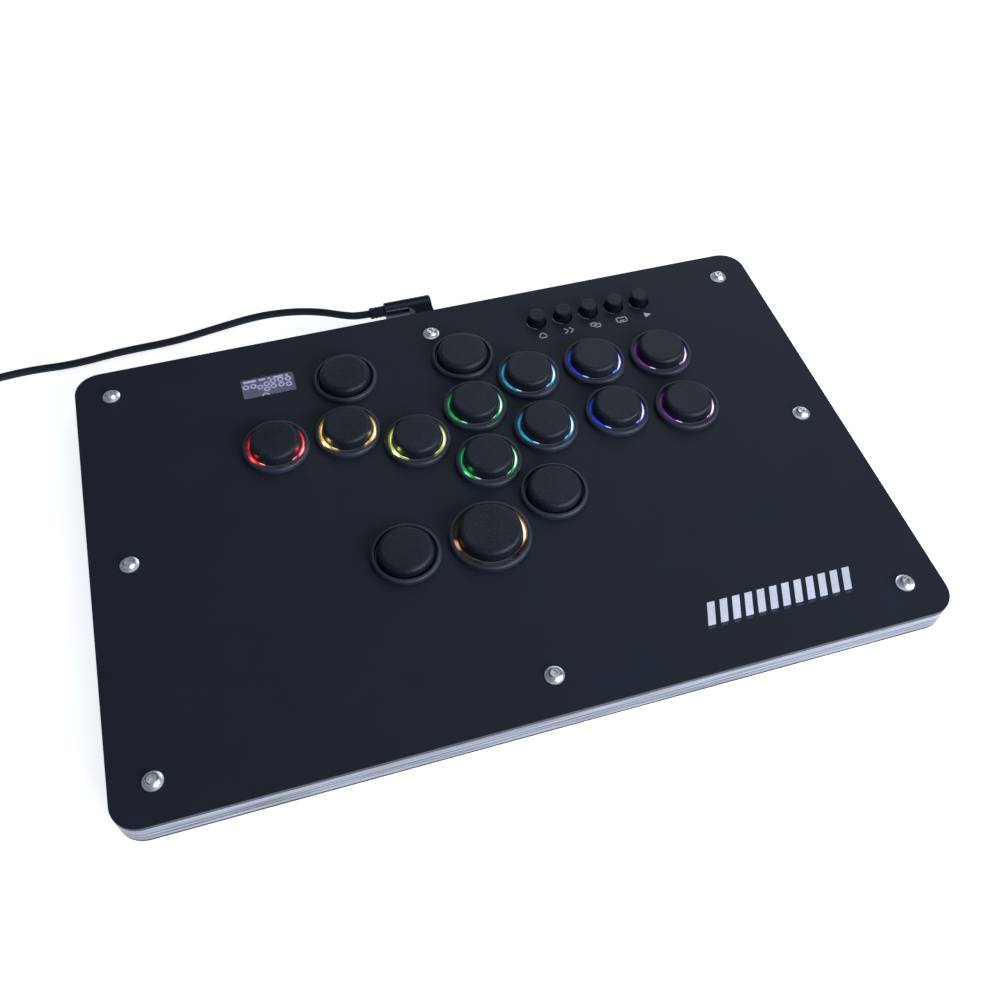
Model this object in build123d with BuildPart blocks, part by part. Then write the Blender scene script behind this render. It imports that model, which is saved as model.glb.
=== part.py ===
from build123d import *
import os
from math import cos, pi, radians, sin, tan

# All-button arcade controller: a flat sandwich case of laser-cut acrylic layers with sixteen
# illuminated push buttons, five small function buttons, a small display and a USB-C lead.
# Millimetres. +X is to the player's right, +Y to the back, +Z up. The origin is the bottom
# centre of the case, on the surface that the rubber feet stand on.

os.makedirs("parts", exist_ok=True)

# ---------------------------------------------------------------- driving dimensions
# Case layers, from the feet up
case_length = 300.0
case_depth = 200.0
corner_radius = 10.0
foot_height = 1.5
base_thickness = 1.0
lower_thickness = 2.5
middle_thickness = 2.0
upper_thickness = 4.0
panel_thickness = 1.5
layer_chamfer = 0.15

base_z = foot_height
lower_z = base_z + base_thickness
middle_z = lower_z + lower_thickness
upper_z = middle_z + middle_thickness
panel_z = upper_z + upper_thickness
deck = panel_z + panel_thickness

# Frames, and the screws that clamp the stack
lower_wall = 7.5
upper_wall = 9.0
cavity_radius = 4.0
pad_radius = 7.0
back_pad_y = 86.75
back_pad_depth = 10.5
notch_width = 11.2
notch_depth = 8.1
screw_x = 135.5
screw_y = 85.5
screw_head_radius = 3.5
screw_head_height = 2.2
screw_shank_radius = 1.95
screw_shank_length = 8.0
nut_radius = 2.75
nut_bore_radius = 2.05
nut_top = 9.5
nut_flange_radius = 4.5
nut_flange_height = 0.9
socket_apothem = 1.25
foot_x, foot_y = 122.0, 74.0
foot_radius = 6.0
fit_gap = 0.15

# Main board, key switches and lamps
board_thickness = 1.6
board_gap = 0.5
tongue_width = 16.0
tongue_end = 99.3
switch_width = 13.8
switch_height = 4.6
well_radius = 3.6
well_floor = 0.6
lamp_size = 2.0
lamp_height = 0.9

board_z = middle_z - board_thickness
board_top = middle_z

# Push buttons. Heights are counted from the deck.
button_travel = 2.6
stop_gap = 0.3
rim_height = 2.2
rim_depth = 4.0
rim_edge = 1.1
hook_reach, hook_width, hook_height = 0.6, 4.0, 1.4
ring_lip, ring_top, ring_skirt = 0.15, 1.75, 3.0
small_ring_inner, big_ring_inner = 10.35, 12.4
plunger_radius = 3.2
plunger_bore = 2.4
plunger_depth = deck - board_top - well_floor - button_travel - stop_gap
cap_wall = 1.3
spring_radius = 1.9
spring_wire = 0.2
spring_turns = 5

small_rim, small_pocket, small_barrel, small_throat = 13.3, 11.7, 12.0, 11.1
big_rim, big_pocket, big_barrel, big_throat = 15.7, 14.0, 14.3, 13.3
hole_gap = 0.1
small_lamp_reach, big_lamp_reach = 8.4, 9.1

direction_spots = {"left": (-75.0, 40.4), "down": (-46.0, 40.4), "right": (-20.2, 28.3)}
up_spot = (-5.0, -24.0)
action_spots = [
    (6.9, 39.8), (33.3, 50.4), (62.7, 50.2), (91.7, 47.3),
    (4.4, 10.8), (31.7, 21.7), (62.3, 21.5), (91.2, 16.5),
]
extra_spots = [(-41.2, 69.0), (9.5, 68.3), (24.6, -10.6), (-37.3, -23.3)]

# Function buttons
function_y = 80.5
function_x = 70.6
function_pitch = 12.0
function_count = 5
function_radius = 3.75
function_hole = 4.45
function_height = 4.3
function_travel = 0.5
function_stem = 1.7
function_flange, flange_thickness = 5.2, 0.9
tact_width = 6.0
tact_height = 3.6
tact_well, tact_well_depth = 1.9, 2.0

# Display
window_x, window_y = -72.6, 75.0
window_width, window_height = 22.0, 11.4
glass_width, glass_height, glass_thickness = 26.7, 19.3, 1.4
module_width, module_height, module_thickness = 27.3, 27.8, 1.2
module_y = 73.0
header_width, header_depth = 10.2, 2.5

# USB-C socket, the plug in it and its lead
socket_width, socket_height, socket_depth = 8.94, 3.16, 7.35
socket_mouth = 99.8
socket_wall = 0.3
plug_width, plug_height = 8.25, 2.4
plug_face = 100.4
barrel_y = 111.0
barrel_radius = 3.6
barrel_left, barrel_right = -15.3, 6.0
neck_left, neck_right, neck_half_height = -2.6, 5.6, 2.8
collar_length = 6.7
collar_radius = 2.5
cable_diameter = 3.3

socket_z = board_top + socket_height / 2
cable_radius = cable_diameter / 2

# Coil of the spare length, lying on the same surface, and the host plug beside it
coil_x, coil_y = -219.0, 96.2
coil_mean_radius = 19.5
coil_columns = 4
coil_rows = 2
tie_thickness = 0.7
tie_angle = 24.0
far_plug_y = 58.0
relief_length = 14.0
far_plug_width, far_plug_length, far_plug_height = 15.5, 22.0, 8.0
far_shell_width, far_shell_length, far_shell_height = 12.0, 18.8, 4.5


# ---------------------------------------------------------------- helpers
def save(piece, name):
    """Label a finished piece and write it."""
    piece.part.label = name
    export_step(piece.part, f"parts/{name}.step")


def place(piece, spots, name):
    """Write one node that holds a copy of the piece at each spot."""
    with BuildPart() as node:
        with Locations(*spots):
            add(piece.part)
    save(node, name)


def at_deck(spots):
    return [(x, y, deck) for x, y in spots]


def at_board(spots):
    return [(x, y, board_top) for x, y in spots]


def turned(profile):
    """A body turned about Z from a closed profile of (radius, height) points."""
    with BuildPart() as piece:
        with BuildSketch(Plane.XZ):
            with BuildLine():
                Polyline(*profile, close=True)
            make_face()
        revolve(axis=Axis.Z)
    return piece


def arc_radii(points):
    """Radius of the arc at each corner of a cord's route, as large as its two runs allow."""
    vectors = [Vector(*point) for point in points]
    runs = [end - start for start, end in zip(vectors, vectors[1:])]
    return [
        0.45 * min(before.length, after.length) / tan(radians(before.get_angle(after)) / 2)
        for before, after in zip(runs, runs[1:])
    ]


screw_spots = [
    (column * screw_x, row * screw_y)
    for column in (-1, 0, 1)
    for row in (-1, 0, 1)
    if (column, row) != (0, 0)
]
small_lit_spots = list(direction_spots.values()) + action_spots
small_spots = small_lit_spots + extra_spots
button_spots = small_spots + [up_spot]
function_spots = [
    (function_x + (index - (function_count - 1) / 2) * function_pitch, function_y)
    for index in range(function_count)
]


# ---------------------------------------------------------------- case layers
def break_outline(layer):
    """Chamfer the outline of a layer's top and bottom faces."""
    faces = layer.faces().sort_by(Axis.Z)
    outlines = faces[0].outer_wire().edges() + faces[-1].outer_wire().edges()
    chamfer(outlines, layer_chamfer)


with BuildPart() as base_plate:
    with BuildSketch(Plane.XY.offset(base_z)):
        RectangleRounded(case_length, case_depth, corner_radius)
        with Locations(*screw_spots):
            Circle(nut_radius + fit_gap, mode=Mode.SUBTRACT)
    extrude(amount=base_thickness)
    break_outline(base_plate)
save(base_plate, "base_plate")

# The lower frame surrounds the main board, and is open at the back for the board's tongue.
with BuildPart() as lower_frame:
    with BuildSketch(Plane.XY.offset(lower_z)):
        RectangleRounded(case_length, case_depth, corner_radius)
        RectangleRounded(
            case_length - 2 * lower_wall, case_depth - 2 * lower_wall, cavity_radius,
            mode=Mode.SUBTRACT,
        )
        with Locations((0, case_depth / 2)):
            Rectangle(tongue_width + 2 * board_gap, 4 * lower_wall, mode=Mode.SUBTRACT)
    extrude(amount=lower_thickness)
    break_outline(lower_frame)
save(lower_frame, "lower_frame")


def board_frame(z, height, name):
    """A frame that bears on the main board with a pad round each screw."""
    with BuildPart() as frame:
        with BuildSketch(Plane.XY.offset(z)):
            RectangleRounded(case_length, case_depth, corner_radius)
            RectangleRounded(
                case_length - 2 * upper_wall, case_depth - 2 * upper_wall, cavity_radius,
                mode=Mode.SUBTRACT,
            )
            with Locations(*screw_spots):
                Circle(pad_radius)
            with Locations((0, back_pad_y)):
                Rectangle(4 * pad_radius, back_pad_depth)
            with Locations((0, case_depth / 2)):
                Rectangle(notch_width, 2 * notch_depth, mode=Mode.SUBTRACT)
            with Locations(*screw_spots):
                Circle(nut_radius + fit_gap, mode=Mode.SUBTRACT)
        extrude(amount=height)
        break_outline(frame)
    save(frame, name)


board_frame(middle_z, middle_thickness, "middle_frame")
board_frame(upper_z, upper_thickness, "upper_frame")

with BuildPart() as top_panel:
    with BuildSketch(Plane.XY.offset(panel_z)):
        RectangleRounded(case_length, case_depth, corner_radius)
        with Locations(*small_spots):
            Circle(small_barrel + hole_gap, mode=Mode.SUBTRACT)
        with Locations(up_spot):
            Circle(big_barrel + hole_gap, mode=Mode.SUBTRACT)
        with Locations(*function_spots):
            Circle(function_hole, mode=Mode.SUBTRACT)
        with Locations(*screw_spots):
            Circle(screw_shank_radius + fit_gap, mode=Mode.SUBTRACT)
        with Locations((window_x, window_y)):
            RectangleRounded(window_width, window_height, 0.5, mode=Mode.SUBTRACT)
    extrude(amount=panel_thickness)
    break_outline(top_panel)
save(top_panel, "top_panel")

# ---------------------------------------------------------------- screws, nuts and feet
# Button-head M4 screw with a hexagon socket; threads are left smooth.
with BuildPart() as case_screw:
    with BuildSketch(Plane.XZ):
        with BuildLine():
            Polyline(
                (0, screw_head_height), (0, -screw_shank_length),
                (screw_shank_radius - 0.4, -screw_shank_length),
                (screw_shank_radius, 0.4 - screw_shank_length),
                (screw_shank_radius, 0), (screw_head_radius, 0), (screw_head_radius, 0.35),
            )
            SagittaArc((screw_head_radius, 0.35), (1.6, screw_head_height), 0.35)
            Line((1.6, screw_head_height), (0, screw_head_height))
        make_face()
    revolve(axis=Axis.Z)
    with BuildSketch(Plane.XY.offset(screw_head_height)):
        RegularPolygon(socket_apothem, 6, major_radius=False)
    extrude(amount=-1.3, mode=Mode.SUBTRACT)
place(case_screw, at_deck(screw_spots), "case_screws")

# Sleeve nut: a round barrel up through the stack, with a thin flange under the base plate
nut_length = nut_top - base_z
with BuildPart() as sleeve_nut:
    with BuildSketch(Plane.XY.offset(-nut_flange_height)):
        Circle(nut_flange_radius)
    extrude(amount=nut_flange_height)
    with BuildSketch(Plane.XY):
        Circle(nut_radius)
    extrude(amount=nut_length)
    with BuildSketch(Plane.XY.offset(nut_length)):
        Circle(nut_bore_radius)
    extrude(amount=-(nut_length - 1.2), mode=Mode.SUBTRACT)
    with BuildSketch(Plane.XY.offset(-nut_flange_height)):
        RegularPolygon(socket_apothem, 6, major_radius=False)
    extrude(amount=1.6, mode=Mode.SUBTRACT)
place(sleeve_nut, [(x, y, base_z) for x, y in screw_spots], "sleeve_nuts")

foot_spots = [(column * foot_x, row * foot_y, 0) for column in (-1, 1) for row in (-1, 1)]
with BuildPart() as rubber_foot:
    with BuildSketch(Plane.XY):
        Circle(foot_radius)
    extrude(amount=foot_height)
    fillet(rubber_foot.edges().group_by(Axis.Z)[0], 0.4)
place(rubber_foot, foot_spots, "rubber_feet")

# ---------------------------------------------------------------- boards and chips
board_length = case_length - 2 * lower_wall - 2 * board_gap
board_depth = case_depth - 2 * lower_wall - 2 * board_gap
board_hole = nut_radius + 0.25

with BuildPart() as insulating_sheet:
    with BuildSketch(Plane.XY.offset(lower_z)):
        RectangleRounded(board_length, board_depth, cavity_radius)
        with Locations(*screw_spots):
            Circle(board_hole, mode=Mode.SUBTRACT)
    extrude(amount=board_z - lower_z)
save(insulating_sheet, "insulating_sheet")

with BuildPart() as main_board:
    with BuildSketch(Plane.XY.offset(board_z)):
        RectangleRounded(board_length, board_depth, cavity_radius)
        with Locations((0, tongue_end / 2)):
            Rectangle(tongue_width, tongue_end)
        with Locations(*screw_spots):
            Circle(board_hole, mode=Mode.SUBTRACT)
    extrude(amount=board_thickness)
save(main_board, "main_board")

# Controller, its flash memory, the regulator and the crystal: (x, y, width, depth, height)
chips = [
    (-95.0, -20.0, 7.0, 7.0, 0.9),
    (-95.0, -32.0, 5.2, 5.3, 1.8),
    (-20.0, 84.0, 6.5, 3.5, 1.6),
    (-84.0, -20.0, 3.2, 2.5, 0.8),
]
with BuildPart() as controller_chips:
    for x, y, width, depth, height in chips:
        with Locations((x, y, board_top)):
            Box(width, depth, height, align=(Align.CENTER, Align.CENTER, Align.MIN))
save(controller_chips, "controller_chips")


# Four lamps stand under each light ring, outside the corners of the key switch.
def lamp_spots(centre, reach):
    x, y = centre
    return [(x + sx * reach, y + sy * reach) for sx in (-1, 1) for sy in (-1, 1)]


lamps = [spot for centre in small_lit_spots for spot in lamp_spots(centre, small_lamp_reach)]
lamps += lamp_spots(up_spot, big_lamp_reach)
with BuildPart() as button_leds:
    with BuildSketch(Plane.XY.offset(board_top)):
        with Locations(*lamps):
            Rectangle(lamp_size, lamp_size)
    extrude(amount=lamp_height)
save(button_leds, "button_leds")

# ---------------------------------------------------------------- key switches and springs
with BuildPart() as key_switch:
    with BuildSketch(Plane.XY):
        Rectangle(switch_width, switch_width)
    extrude(amount=switch_height)
    chamfer(key_switch.edges().group_by(Axis.Z)[-1], 0.8)
    with BuildSketch(Plane.XY.offset(switch_height)):
        Circle(well_radius)
    extrude(amount=-(switch_height - well_floor), mode=Mode.SUBTRACT)
place(key_switch, at_board(button_spots), "key_switches")

# Each spring stands on its switch's well floor and bears on the roof of the plunger's bore.
spring_length = deck - board_top - well_floor
spring_rise = spring_length - 2 * spring_wire - 0.1
with BuildPart() as return_spring:
    with BuildLine() as spring_line:
        Helix(spring_rise / spring_turns, spring_rise, spring_radius,
              center=(0, 0, well_floor + spring_wire + 0.05))
    with BuildSketch(Plane(origin=spring_line.line @ 0, z_dir=spring_line.line % 0)):
        Circle(spring_wire)
    sweep(path=spring_line.line, is_frenet=True)
place(return_spring, at_board(button_spots), "return_springs")


# ---------------------------------------------------------------- push buttons
def make_rim(rim_radius, pocket_radius, barrel_radius_out, throat_radius):
    """A fat rounded rim over the panel, on a barrel that snaps under it with two hooks."""
    with BuildPart() as rim:
        with BuildSketch(Plane.XZ):
            with BuildLine():
                Polyline(
                    (rim_radius, 0), (rim_radius, rim_height), (pocket_radius, rim_height),
                    (pocket_radius, 0), (throat_radius, 0), (throat_radius, -rim_depth),
                    (barrel_radius_out, -rim_depth), (barrel_radius_out, 0), close=True,
                )
            make_face()
        revolve(axis=Axis.Z)
        top_edges = rim.edges().filter_by(GeomType.CIRCLE).group_by(Axis.Z)[-1]
        fillet(top_edges.sort_by(SortBy.RADIUS)[-1], rim_edge)
        inner_edges = rim.edges().filter_by(GeomType.CIRCLE).group_by(Axis.Z)[-1]
        fillet(inner_edges.sort_by(SortBy.RADIUS)[0], 0.35)
        hook_z = -panel_thickness - fit_gap
        with BuildSketch(Plane.XY.offset(hook_z)):
            Rectangle(2 * (barrel_radius_out + hook_reach), hook_width)
            Circle(barrel_radius_out - 0.2, mode=Mode.SUBTRACT)
        extrude(amount=-hook_height)
    return rim


def make_light_ring(pocket_radius, throat_radius, inner_radius):
    """A clear funnel round the cap, with a skirt that brings light up from the lamps."""
    outer = pocket_radius - 0.05
    skirt = throat_radius - 0.05
    with BuildPart() as ring:
        with BuildSketch(Plane.XZ):
            with BuildLine():
                Polyline(
                    (inner_radius, ring_lip), (inner_radius, -ring_skirt),
                    (skirt, -ring_skirt), (skirt, 0.02), (outer, 0.02), (outer, ring_top),
                )
                SagittaArc((outer, ring_top), (inner_radius, ring_lip), -0.15)
            make_face()
        revolve(axis=Axis.Z)
    return ring


def make_cap(base_radius, top_radius, height, edge_radius):
    """A hollow cap with a rounded edge and the plunger that works the key switch."""
    roof = height - cap_wall
    with BuildPart() as cap:
        with BuildSketch(Plane.XZ):
            with BuildLine():
                Polyline(
                    (0, height), (0, 0), (plunger_bore, 0), (plunger_bore, -plunger_depth),
                    (plunger_radius, -plunger_depth), (plunger_radius, roof),
                    (top_radius - cap_wall, roof), (base_radius - cap_wall, 0),
                    (base_radius, 0), (top_radius, height), close=True,
                )
            make_face()
        revolve(axis=Axis.Z)
        fillet(cap.edges().filter_by(GeomType.CIRCLE).group_by(Axis.Z)[-1], edge_radius)
    return cap


small_rim_piece = make_rim(small_rim, small_pocket, small_barrel, small_throat)
big_rim_piece = make_rim(big_rim, big_pocket, big_barrel, big_throat)
place(small_rim_piece, at_deck(direction_spots.values()), "direction_rims")
place(small_rim_piece, at_deck(action_spots), "action_rims")
place(small_rim_piece, at_deck(extra_spots), "extra_rims")
place(big_rim_piece, at_deck([up_spot]), "up_rim")

small_ring_piece = make_light_ring(small_pocket, small_throat, small_ring_inner)
big_ring_piece = make_light_ring(big_pocket, big_throat, big_ring_inner)
place(small_ring_piece, at_deck(direction_spots.values()), "direction_light_rings")
place(small_ring_piece, at_deck(action_spots), "action_light_rings")
place(big_ring_piece, at_deck([up_spot]), "up_light_ring")

# The lit caps leave room for a light ring; the four extra caps fill their rims.
lit_cap = make_cap(base_radius=10.0, top_radius=9.7, height=6.0, edge_radius=1.8)
extra_cap = make_cap(base_radius=10.8, top_radius=10.3, height=5.0, edge_radius=2.1)
up_cap = make_cap(base_radius=12.05, top_radius=11.8, height=6.5, edge_radius=1.9)
for side, spot in direction_spots.items():
    place(lit_cap, at_deck([spot]), f"{side}_cap")
place(up_cap, at_deck([up_spot]), "up_cap")
for number, spot in enumerate(action_spots, 1):
    place(lit_cap, at_deck([spot]), f"action_cap_{number}")
for number, spot in enumerate(extra_spots, 1):
    place(extra_cap, at_deck([spot]), f"extra_cap_{number}")

# ---------------------------------------------------------------- function buttons
with BuildPart() as function_switch:
    with BuildSketch(Plane.XY):
        Rectangle(tact_width, tact_width)
    extrude(amount=tact_height)
    with BuildSketch(Plane.XY.offset(tact_height)):
        Circle(tact_well)
    extrude(amount=-tact_well_depth, mode=Mode.SUBTRACT)
place(function_switch, at_board(function_spots), "function_switches")

# The cap's flange stops under the panel, and its stem stands in the switch's well.
flange_top = -panel_thickness - 0.4
flange_bottom = flange_top - flange_thickness
well_bottom = board_top + tact_height - tact_well_depth - deck
stem_bottom = well_bottom + function_travel + stop_gap
function_cap = turned([
    (0, stem_bottom), (function_stem, stem_bottom), (function_stem, flange_bottom),
    (function_flange, flange_bottom), (function_flange, flange_top),
    (function_radius, flange_top),
    (function_radius, function_height - 0.5), (function_radius - 0.15, function_height - 0.15),
    (function_radius - 0.5, function_height), (0, function_height),
])
for number, spot in enumerate(function_spots, 1):
    place(function_cap, at_deck([spot]), f"function_cap_{number}")

# ---------------------------------------------------------------- display
glass_z = panel_z - 0.2 - glass_thickness
module_z = glass_z - 0.1 - module_thickness

with BuildPart() as display_window:
    with BuildSketch(Plane.XY.offset(panel_z)):
        with Locations((window_x, window_y)):
            RectangleRounded(window_width - 0.1, window_height - 0.1, 0.45)
    extrude(amount=panel_thickness)
save(display_window, "display_window")

with BuildPart() as display_panel:
    with BuildSketch(Plane.XY.offset(glass_z)):
        with Locations((window_x, window_y)):
            Rectangle(glass_width, glass_height)
    extrude(amount=glass_thickness)
save(display_panel, "display_panel")

# The display's own board stands on the main board by a four-way pin header at its back edge.
header_y = module_y + module_height / 2 - 1.6
with BuildPart() as display_board:
    with BuildSketch(Plane.XY.offset(module_z)):
        with Locations((window_x, module_y)):
            RectangleRounded(module_width, module_height, 1.0)
            with GridLocations(module_width - 4, module_height - 4, 2, 2):
                Circle(1.0, mode=Mode.SUBTRACT)
    extrude(amount=module_thickness)
    with BuildSketch(Plane.XY.offset(board_top)):
        with Locations((window_x, header_y)):
            Rectangle(header_width, header_depth)
    extrude(amount=module_z - board_top)
save(display_board, "display_board")

# ---------------------------------------------------------------- USB-C socket and plug
mouth_plane = Plane(origin=(0, socket_mouth, socket_z), x_dir=(1, 0, 0), z_dir=(0, -1, 0))
with BuildPart() as usb_socket:
    with BuildSketch(mouth_plane):
        RectangleRounded(socket_width, socket_height, 1.3)
    extrude(amount=socket_depth)
    with BuildSketch(mouth_plane):
        RectangleRounded(socket_width - 2 * socket_wall, socket_height - 2 * socket_wall, 1.15)
    extrude(amount=socket_depth - 0.8, mode=Mode.SUBTRACT)
    with BuildSketch(mouth_plane.offset(2.0)):
        Rectangle(6.7, 0.7)
    extrude(amount=socket_depth - 2.4)
save(usb_socket, "usb_socket")

shell_plane = Plane(origin=(0, plug_face, socket_z), x_dir=(1, 0, 0), z_dir=(0, -1, 0))
shell_length = 6.5
with BuildPart() as plug_shell:
    with BuildSketch(shell_plane):
        RectangleRounded(plug_width, plug_height, 1.1)
    extrude(amount=shell_length)
    with BuildSketch(shell_plane.offset(shell_length)):
        RectangleRounded(plug_width - 0.7, plug_height - 0.7, 0.8)
    extrude(amount=-(shell_length - 1.0), mode=Mode.SUBTRACT)
save(plug_shell, "plug_shell")

# The plug is right-angled: a round barrel along the back of the case on a flat neck.
with BuildPart() as plug_body:
    with BuildSketch(Plane.YZ.offset(barrel_left)):
        with Locations((barrel_y, socket_z)):
            Circle(barrel_radius)
    extrude(amount=barrel_right - barrel_left)
    fillet(plug_body.edges().group_by(Axis.X)[-1], 0.8)
    fillet(plug_body.edges().group_by(Axis.X)[0], 0.4)
    with BuildSketch(Plane.XY.offset(socket_z - neck_half_height)):
        with BuildLine():
            Polyline(
                (neck_left, plug_face), (neck_right, plug_face), (neck_right, barrel_y),
                (neck_left - 2.0, barrel_y), (neck_left - 2.0, barrel_y - barrel_radius),
                (neck_left, barrel_y - barrel_radius - 2.0), close=True,
            )
        make_face()
    extrude(amount=2 * neck_half_height)
save(plug_body, "plug_body")

# The collar between the barrel and the lead: local x runs away from the barrel, y is the radius
collar_axis = Axis((barrel_left, barrel_y, socket_z), (1, 0, 0))
collar_plane = Plane(origin=(barrel_left, barrel_y, socket_z), x_dir=(-1, 0, 0), z_dir=(0, 1, 0))
groove_starts = [1.2, 2.8, 4.4]
collar_outline = [(0, 0), (0, collar_radius)]
for start in groove_starts:
    collar_outline += [
        (start, collar_radius), (start, collar_radius - 0.25),
        (start + 0.5, collar_radius - 0.25), (start + 0.5, collar_radius),
    ]
collar_outline += [(collar_length - 0.4, collar_radius), (collar_length, collar_radius - 0.3),
                   (collar_length, 0)]
with BuildPart() as plug_collar:
    with BuildSketch(collar_plane):
        with BuildLine():
            Polyline(*collar_outline, close=True)
        make_face()
    revolve(axis=collar_axis)
save(plug_collar, "plug_collar")

# ---------------------------------------------------------------- lead, coil and far plug
coil_half_width = coil_columns * cable_radius
coil_height = coil_rows * cable_diameter
outer_turn = coil_mean_radius + coil_half_width - cable_radius
coil_floor = tie_thickness
top_row = coil_floor + coil_height - cable_radius

# From the collar the lead drops to the surface, lies along the back of the case and meets
# the coil's outermost turn.
exit_x = barrel_left - collar_length
lead_points = [
    (exit_x, barrel_y, socket_z),
    (-27.6, barrel_y, socket_z),
    (-33.4, 113.1, 6.6),
    (-43.5, 119.0, 6.1),
    (-56.0, 124.1, 4.6),
    (-71.0, 127.2, 2.7),
    (-89.0, 125.6, 1.65),
    (-109.0, 122.2, 1.65),
    (-131.0, 122.3, 1.65),
    (-152.0, 119.8, 1.65),
    (-171.0, 121.4, 1.65),
    (-190.0, 119.6, 1.8),
    (-207.0, 120.5, 2.35),
]
# The lead's last few centimetres leave the coil's upper row and reach the far plug.
far_plug_z = far_plug_height / 2
tail_x = coil_x - outer_turn
tail_end = far_plug_y + relief_length
tail_points = [
    (tail_x, coil_y - 11.0, top_row),
    (tail_x - 0.2, tail_end + 8.8, 5.0),
    (tail_x, tail_end + 4.4, far_plug_z),
    (tail_x, tail_end, far_plug_z),
]


def tube_along(points):
    with BuildPart() as tube:
        with BuildLine() as route:
            FilletPolyline(*points, radius=arc_radii(points))
        with BuildSketch(Plane(origin=route.line @ 0, z_dir=route.line % 0)):
            Circle(cable_radius)
        sweep(path=route.line)
    return tube, sum(edge.length for edge in route.edges())


lead, lead_length = tube_along(lead_points)
tail, tail_length = tube_along(tail_points)
with BuildPart() as usb_cable:
    add(lead.part)
    add(tail.part)
save(usb_cable, "usb_cable")

coil_axis = Axis((coil_x, coil_y, 0), (0, 0, 1))
coil_section = Plane(origin=(coil_x, coil_y, 0), x_dir=(1, 0, 0), z_dir=(0, -1, 0))
with BuildPart() as cable_coil:
    with BuildSketch(coil_section):
        with Locations((coil_mean_radius, coil_floor + coil_height / 2)):
            RectangleRounded(2 * coil_half_width, coil_height, 1.5)
    revolve(axis=coil_axis)
save(cable_coil, "cable_coil")

# Hook-and-loop strap round the bundle
tie_start = radians(-70.0)
tie_section = Plane(
    origin=(coil_x, coil_y, 0),
    x_dir=(cos(tie_start), sin(tie_start), 0),
    z_dir=(sin(tie_start), -cos(tie_start), 0),
)
with BuildPart() as coil_tie:
    with BuildSketch(tie_section):
        with Locations((coil_mean_radius, coil_floor + coil_height / 2)):
            RectangleRounded(
                2 * (coil_half_width + tie_thickness), coil_height + 2 * tie_thickness, 1.9,
            )
            RectangleRounded(
                2 * coil_half_width + 0.1, coil_height + 0.1, 1.5, mode=Mode.SUBTRACT,
            )
    revolve(axis=coil_axis, revolution_arc=tie_angle)
save(coil_tie, "coil_tie")

# Host plug: a moulded grip with a tapered relief at the lead's end, and a steel shell
with BuildPart() as far_plug_body:
    with BuildSketch(Plane.XY):
        with Locations((tail_x, far_plug_y - far_plug_length / 2)):
            RectangleRounded(far_plug_width, far_plug_length, 2.0)
    extrude(amount=far_plug_height)
    fillet(far_plug_body.edges().group_by(Axis.Z)[-1], 1.2)
    with BuildSketch(Plane(origin=(tail_x, far_plug_y - 1, far_plug_z), z_dir=(0, 1, 0))):
        Circle(3.4)
    with BuildSketch(Plane(origin=(tail_x, tail_end, far_plug_z), z_dir=(0, 1, 0))):
        Circle(cable_radius + 0.6)
    loft()
save(far_plug_body, "far_plug_body")

far_front = far_plug_y - far_plug_length
far_plane = Plane(origin=(tail_x, far_front, far_plug_z), x_dir=(1, 0, 0), z_dir=(0, -1, 0))
with BuildPart() as far_plug_shell:
    with BuildSketch(far_plane):
        RectangleRounded(far_shell_width, far_shell_height, 0.4)
    extrude(amount=far_shell_length)
    with BuildSketch(far_plane.offset(far_shell_length)):
        RectangleRounded(far_shell_width - 0.7, far_shell_height - 0.7, 0.2)
    extrude(amount=-(far_shell_length - 1), mode=Mode.SUBTRACT)
    with BuildSketch(far_plane.offset(1)):
        with Locations((0, 0.95)):
            Rectangle(11.0, 1.9)
    extrude(amount=far_shell_length - 3)
save(far_plug_shell, "far_plug_shell")

# Radii and lengths of the lead, for reference
section = pi * cable_radius ** 2
for label, points, tube, length in (
    ("lead", lead_points, lead, lead_length), ("tail", tail_points, tail, tail_length),
):
    print(label, "radii", [round(radius, 1) for radius in arc_radii(points)])
    print(label, "length", round(length, 1))
    print(label, "volume over section", round(tube.part.volume / section, 1))
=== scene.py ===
"""Looks of the all-button arcade controller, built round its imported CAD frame."""

from math import cos, pi, radians, sin, tau

import bpy
from mathutils import Euler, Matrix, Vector


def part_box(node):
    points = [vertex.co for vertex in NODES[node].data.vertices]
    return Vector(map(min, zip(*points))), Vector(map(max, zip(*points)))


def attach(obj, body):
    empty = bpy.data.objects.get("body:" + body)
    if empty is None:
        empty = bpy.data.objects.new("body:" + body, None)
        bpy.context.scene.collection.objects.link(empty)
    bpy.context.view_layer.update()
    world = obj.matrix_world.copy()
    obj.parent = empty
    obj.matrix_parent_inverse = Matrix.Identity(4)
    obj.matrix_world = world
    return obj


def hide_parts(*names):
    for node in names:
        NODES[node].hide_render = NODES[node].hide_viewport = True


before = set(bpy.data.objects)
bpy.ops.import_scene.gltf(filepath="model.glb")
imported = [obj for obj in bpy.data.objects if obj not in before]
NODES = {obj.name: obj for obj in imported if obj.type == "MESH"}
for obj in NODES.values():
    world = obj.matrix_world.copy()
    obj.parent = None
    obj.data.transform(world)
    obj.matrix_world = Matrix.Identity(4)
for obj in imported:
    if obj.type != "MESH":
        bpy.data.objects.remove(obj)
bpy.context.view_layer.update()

MM = 0.001
CASE = "case"
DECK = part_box("top_panel")[1].z
SCENE = bpy.context.scene


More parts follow.
